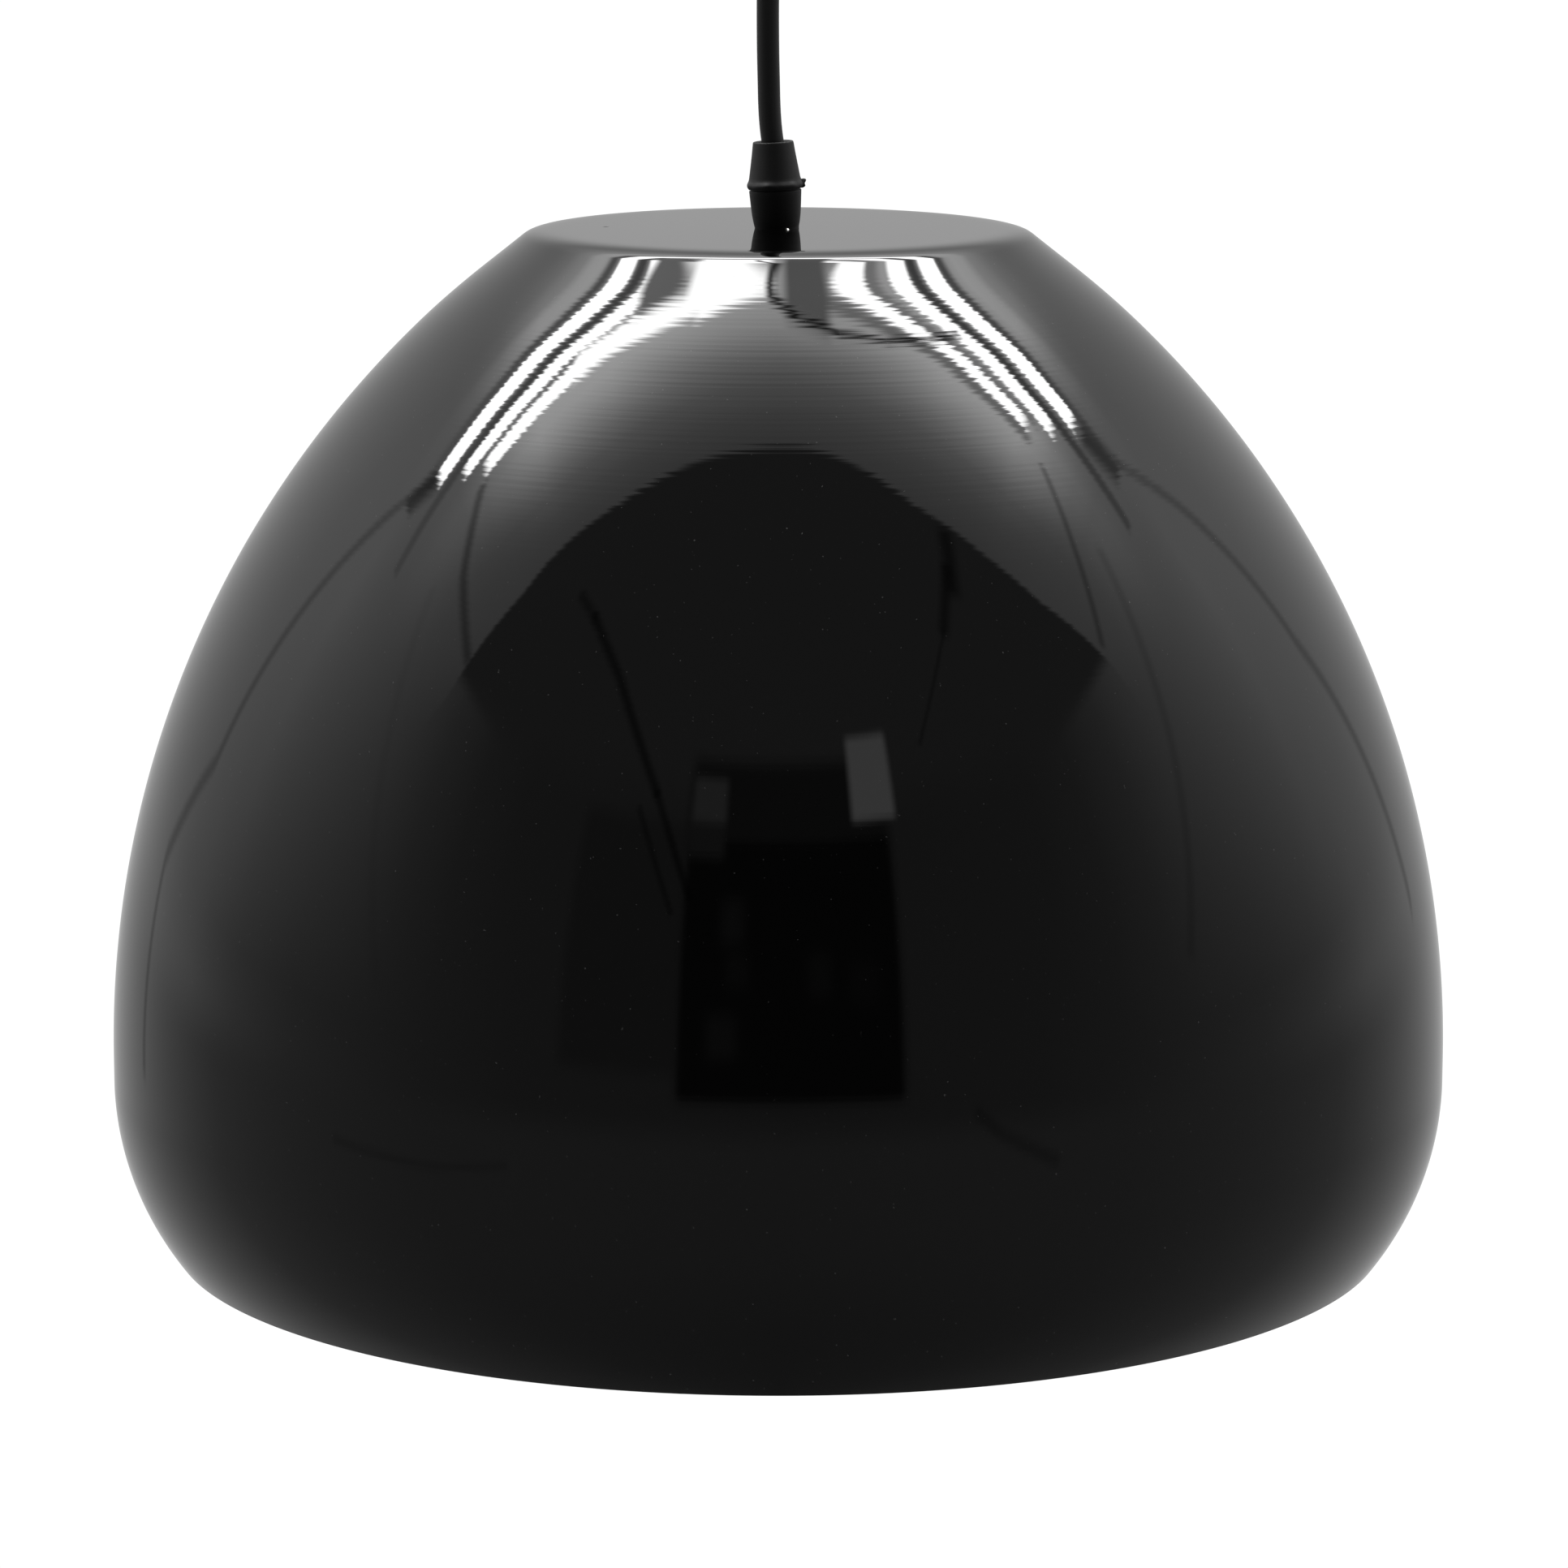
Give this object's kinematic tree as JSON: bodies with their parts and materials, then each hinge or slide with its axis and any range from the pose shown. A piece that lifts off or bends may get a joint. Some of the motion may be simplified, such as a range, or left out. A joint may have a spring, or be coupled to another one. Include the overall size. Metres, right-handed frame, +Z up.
{
  "type": "pendant ceiling light",
  "caption": "Pendant light: a gloss black spun dome shade with a flat top and an inward-curving rim, hung by a short black cord from a round ceiling canopy.",
  "frame": {"origin": "on the ceiling plane, midway between the two fixing slots of the ceiling bracket", "axes": "+Z up, out of the ceiling; the lamp hangs along -Z; +X along the line of the two slots"},
  "size_m": [0.4, 0.4, 0.456],
  "materials": {
    "black_enamel": "gloss",
    "black_plastic": "satin",
    "cord_sheath": "satin",
    "phenolic": "satin",
    "white_plastic": "satin",
    "nylon": "satin",
    "porcelain": "gloss",
    "zinc": "satin",
    "nickel": "polished",
    "brass": "polished",
    "solder": "satin",
    "core_brown": "satin",
    "core_blue": "satin",
    "core_green": "satin",
    "clear_glass": "polished",
    "black_glass": "gloss",
    "phosphor": "matte"
  },
  "bodies": {
    "canopy": {"ceiling_bracket": "zinc", "bracket_earth_screw": "brass", "canopy_cup": "black_enamel", "canopy_side_screws": "nickel", "terminal_block": "white_plastic", "terminal_screws": "brass", "canopy_nipple": "zinc", "canopy_nut": "zinc", "canopy_grip_body": "black_plastic", "canopy_grip_collet": "nylon", "canopy_cord_end": "cord_sheath", "canopy_core_live": "core_brown", "canopy_core_neutral": "core_blue", "canopy_core_earth": "core_green"},
    "canopy_cap": {"canopy_grip_cap": "black_plastic"},
    "cord": {"cord": "cord_sheath"},
    "lamp": {"shade": "black_enamel", "top_washer": "nickel", "grip_body": "black_plastic", "grip_collet": "nylon", "nipple": "zinc", "lock_washer": "nickel", "hex_nut": "zinc", "holder_cap": "phenolic", "holder_skirt": "phenolic", "holder_insert": "porcelain", "screw_shell": "brass", "centre_contact": "brass", "holder_terminals": "brass", "holder_terminal_screws": "nickel", "holder_earth_tag": "brass", "lamp_cord_end": "cord_sheath", "core_live": "core_brown", "core_neutral": "core_blue", "core_earth": "core_green"},
    "lamp_cap": {"grip_cap": "black_plastic"},
    "bulb": {"bulb_glass": "clear_glass", "bulb_screw_cap": "nickel", "bulb_insulator": "black_glass", "bulb_contact": "solder", "bulb_stem": "clear_glass", "bulb_leads": "nickel", "bulb_filaments": "phosphor"}
  },
  "joints": [
    {"name": "cord_swing", "type": "hinge", "parent": "canopy", "child": "cord", "pos_m": [-0.0013, 0, -0.051], "axis": [0, 1, 0], "range_deg": [-25, 25]},
    {"name": "lamp_tilt", "type": "hinge", "parent": "cord", "child": "lamp", "pos_m": [-0.0014, 0, -0.1289], "axis": [1, 0, 0], "range_deg": [-25, 25]},
    {"name": "lamp_cap_turn", "type": "hinge", "parent": "lamp", "child": "lamp_cap", "pos_m": [0, 0, -0.161], "axis": [-0.0436, 0, 0.999], "range_deg": [0, 90]},
    {"name": "canopy_cap_turn", "type": "hinge", "parent": "canopy", "child": "canopy_cap", "pos_m": [0, 0, -0.01975], "axis": [-0.0436, 0, -0.999], "range_deg": [0, 90]},
    {"name": "bulb_out", "type": "slide", "parent": "lamp", "child": "bulb", "axis": [0, 0, -1], "range_m": [0, 0.028]}
  ]
}
